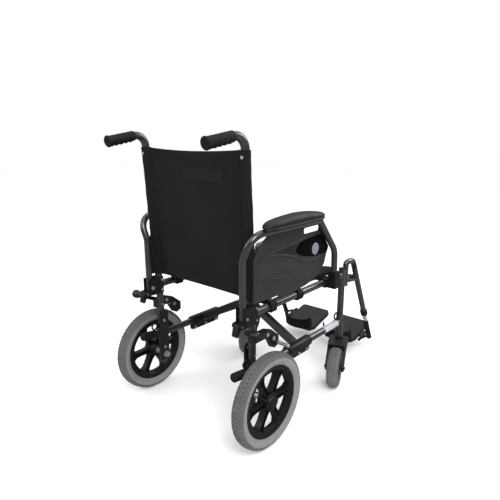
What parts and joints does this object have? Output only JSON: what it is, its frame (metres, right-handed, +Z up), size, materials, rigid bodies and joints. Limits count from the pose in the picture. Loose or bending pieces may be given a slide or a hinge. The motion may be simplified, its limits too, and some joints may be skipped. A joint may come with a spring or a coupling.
{
  "type": "folding transit wheelchair",
  "caption": "Attendant-pushed folding wheelchair with sling seat and back, flip-back armrests, swing-away footrests, swivel casters, small solid rear wheels and lever brakes.",
  "frame": {"origin": "floor level, mid-plane of the chair, middle of the overall length", "axes": "+X the sitter's left, -Y the way the chair faces, +Z up"},
  "size_m": [0.606, 1.0576, 0.9532],
  "materials": {
    "frame_paint": "satin metallic powder coat",
    "black_steel": "satin black powder coat",
    "zinc_steel": "zinc plated",
    "silver_steel": "polished plating",
    "bearing_steel": "ground steel",
    "black_plastic": "moulded, fine texture",
    "fork_plastic": "moulded, fine texture",
    "panel_plastic": "moulded, satin",
    "plate_plastic": "moulded, ribbed",
    "rim_black": "moulded",
    "gloss_knob": "gloss",
    "black_rubber": "matte",
    "tyre_grey": "matte grey, non-marking",
    "arm_pad_foam": "skinned foam, fine grain",
    "sling_nylon": "woven nylon, sewn",
    "webbing": "woven webbing"
  },
  "bodies": {
    "right_frame": {"right_side_frame": "frame_paint", "right_grip": "black_rubber", "right_axle_plate": "black_steel", "right_fasteners": "zinc_steel", "right_arm_bracket": "black_plastic", "right_brake_bracket": "black_steel", "right_rail_fittings": "black_plastic", "right_tip_cap": "black_rubber", "back_sling": "sling_nylon"},
    "left_frame": {"left_side_frame": "frame_paint", "left_grip": "black_rubber", "left_axle_plate": "black_steel", "left_fasteners": "zinc_steel", "left_arm_bracket": "black_plastic", "left_brake_bracket": "black_steel", "left_rail_fittings": "black_plastic", "left_tip_cap": "black_rubber"},
    "cross_brace_b": {"cross_bar_b": "frame_paint", "brace_bolt": "zinc_steel", "seat_sling": "sling_nylon"},
    "cross_brace_a": {"cross_bar_a": "frame_paint"},
    "right_rear_wheel": {"right_rear_tyre": "tyre_grey", "right_rear_rim": "rim_black", "right_wheel_bearings": "bearing_steel"},
    "right_caster": {"right_caster_fork": "fork_plastic"},
    "right_caster_wheel": {"right_caster_tyre": "tyre_grey", "right_caster_rim": "rim_black"},
    "right_armrest": {"right_arm_tube": "frame_paint", "right_arm_pad": "arm_pad_foam", "right_side_panel": "panel_plastic"},
    "right_arm_release": {"right_arm_lever": "black_plastic"},
    "right_legrest": {"right_hanger": "frame_paint", "right_hanger_collar": "black_plastic"},
    "right_legrest_release": {"right_hanger_lever": "black_plastic"},
    "right_footrest": {"right_footrest_tube": "silver_steel"},
    "right_foot_plate": {"right_footplate": "plate_plastic", "right_heel_loop": "webbing"},
    "right_brake_handle": {"right_brake_lever": "black_steel", "right_brake_knob": "gloss_knob"},
    "right_brake_arm": {"right_brake_shoe": "silver_steel"},
    "left_rear_wheel": {"left_rear_tyre": "tyre_grey", "left_rear_rim": "rim_black", "left_wheel_bearings": "bearing_steel"},
    "left_caster": {"left_caster_fork": "fork_plastic"},
    "left_caster_wheel": {"left_caster_tyre": "tyre_grey", "left_caster_rim": "rim_black"},
    "left_armrest": {"left_arm_tube": "frame_paint", "left_arm_pad": "arm_pad_foam", "left_side_panel": "panel_plastic"},
    "left_arm_release": {"left_arm_lever": "black_plastic"},
    "left_legrest": {"left_hanger": "frame_paint", "left_hanger_collar": "black_plastic"},
    "left_legrest_release": {"left_hanger_lever": "black_plastic"},
    "left_footrest": {"left_footrest_tube": "silver_steel"},
    "left_foot_plate": {"left_footplate": "plate_plastic", "left_heel_loop": "webbing"},
    "left_brake_handle": {"left_brake_lever": "black_steel", "left_brake_knob": "gloss_knob"},
    "left_brake_arm": {"left_brake_shoe": "silver_steel"}
  },
  "joints": [
    {"name": "fold", "type": "hinge", "parent": "right_frame", "child": "cross_brace_b", "pos_m": [-0.221, 0.10862, 0.2305], "axis": [0, -1, 0], "range_deg": [0, 47], "deforming": ["seat_sling", "back_sling"]},
    {"name": "brace_pivot", "type": "hinge", "parent": "cross_brace_b", "child": "cross_brace_a", "pos_m": [0, 0.12762, 0.3462], "axis": [0, -1, 0], "range_deg": [-94.5, 0.5]},
    {"name": "left_rail_pivot", "type": "hinge", "parent": "cross_brace_a", "child": "left_frame", "pos_m": [0.221, 0.13062, 0.2305], "axis": [0, -1, 0], "range_deg": [-0.5, 47.5]},
    {"name": "right_wheel_spin", "type": "hinge", "parent": "right_frame", "child": "right_rear_wheel", "pos_m": [-0.2795, 0.34662, 0.1525], "axis": [1, 0, 0], "continuous": true},
    {"name": "right_caster_swivel", "type": "hinge", "parent": "right_frame", "child": "right_caster", "pos_m": [-0.222, -0.17538, 0.19], "axis": [0, 0, 1], "continuous": true},
    {"name": "right_caster_spin", "type": "hinge", "parent": "right_caster", "child": "right_caster_wheel", "pos_m": [-0.25422, -0.09564, 0.076], "axis": [0.9272, 0.3746, 0], "continuous": true},
    {"name": "right_armrest_flip", "type": "hinge", "parent": "right_frame", "child": "right_armrest", "pos_m": [-0.219, 0.39362, 0.42], "axis": [-1, 0, 0], "range_deg": [0, 90]},
    {"name": "right_arm_release", "type": "hinge", "parent": "right_frame", "child": "right_arm_release", "pos_m": [-0.219, 0.41462, 0.401], "axis": [1, 0, 0], "range_deg": [0, 12]},
    {"name": "right_legrest_swing", "type": "hinge", "parent": "right_frame", "child": "right_legrest", "pos_m": [-0.222, -0.20238, 0.41], "axis": [0, 0, -1], "range_deg": [0, 90]},
    {"name": "right_legrest_release", "type": "hinge", "parent": "right_legrest", "child": "right_legrest_release", "pos_m": [-0.222, -0.23638, 0.4], "axis": [1, 0, 0], "range_deg": [-15, 15]},
    {"name": "right_footrest_height", "type": "slide", "parent": "right_legrest", "child": "right_footrest", "axis": [-0.0035, -0.4297, -0.9029], "range_m": [-0.03, 0.012]},
    {"name": "right_plate_flip", "type": "hinge", "parent": "right_footrest", "child": "right_foot_plate", "pos_m": [-0.196, -0.44338, 0.076], "axis": [0, -0.9659, 0.2588], "range_deg": [-1, 88]},
    {"name": "right_brake", "type": "hinge", "parent": "right_frame", "child": "right_brake_handle", "pos_m": [-0.243, 0.31062, 0.347], "axis": [-1, 0, 0], "range_deg": [0, 35]},
    {"name": "right_brake_shoe", "type": "hinge", "parent": "right_frame", "child": "right_brake_arm", "pos_m": [-0.243, 0.27462, 0.322], "axis": [1, 0, 0], "range_deg": [-1, 26]},
    {"name": "left_wheel_spin", "type": "hinge", "parent": "left_frame", "child": "left_rear_wheel", "pos_m": [0.2795, 0.34662, 0.1525], "axis": [1, 0, 0], "continuous": true},
    {"name": "left_caster_swivel", "type": "hinge", "parent": "left_frame", "child": "left_caster", "pos_m": [0.222, -0.17538, 0.19], "axis": [0, 0, 1], "continuous": true},
    {"name": "left_caster_spin", "type": "hinge", "parent": "left_caster", "child": "left_caster_wheel", "pos_m": [0.18702, -0.09681, 0.076], "axis": [0.9135, 0.4067, 0], "continuous": true},
    {"name": "left_armrest_flip", "type": "hinge", "parent": "left_frame", "child": "left_armrest", "pos_m": [0.219, 0.39362, 0.42], "axis": [-1, 0, 0], "range_deg": [0, 90]},
    {"name": "left_arm_release", "type": "hinge", "parent": "left_frame", "child": "left_arm_release", "pos_m": [0.219, 0.41462, 0.401], "axis": [1, 0, 0], "range_deg": [0, 12]},
    {"name": "left_legrest_swing", "type": "hinge", "parent": "left_frame", "child": "left_legrest", "pos_m": [0.222, -0.20238, 0.41], "axis": [0, 0, 1], "range_deg": [0, 90]},
    {"name": "left_legrest_release", "type": "hinge", "parent": "left_legrest", "child": "left_legrest_release", "pos_m": [0.222, -0.23638, 0.4], "axis": [1, 0, 0], "range_deg": [-15, 15]},
    {"name": "left_footrest_height", "type": "slide", "parent": "left_legrest", "child": "left_footrest", "axis": [0.0035, -0.4297, -0.9029], "range_m": [-0.03, 0.012]},
    {"name": "left_plate_flip", "type": "hinge", "parent": "left_footrest", "child": "left_foot_plate", "pos_m": [0.196, -0.44338, 0.076], "axis": [0, 0.9659, -0.2588], "range_deg": [-1, 88]},
    {"name": "left_brake", "type": "hinge", "parent": "left_frame", "child": "left_brake_handle", "pos_m": [0.243, 0.31062, 0.347], "axis": [-1, 0, 0], "range_deg": [0, 35]},
    {"name": "left_brake_shoe", "type": "hinge", "parent": "left_frame", "child": "left_brake_arm", "pos_m": [0.243, 0.27462, 0.322], "axis": [1, 0, 0], "range_deg": [-1, 26]}
  ],
  "couplings": [
    {"joint": "brace_pivot", "follows": "fold", "ratio": -2},
    {"joint": "left_rail_pivot", "follows": "fold", "ratio": 1},
    {"joint": "right_plate_flip", "follows": "fold", "ratio": 1.85},
    {"joint": "right_brake_shoe", "follows": "right_brake", "ratio": 0.7},
    {"joint": "left_plate_flip", "follows": "fold", "ratio": 1.85},
    {"joint": "left_brake_shoe", "follows": "left_brake", "ratio": 0.7}
  ]
}
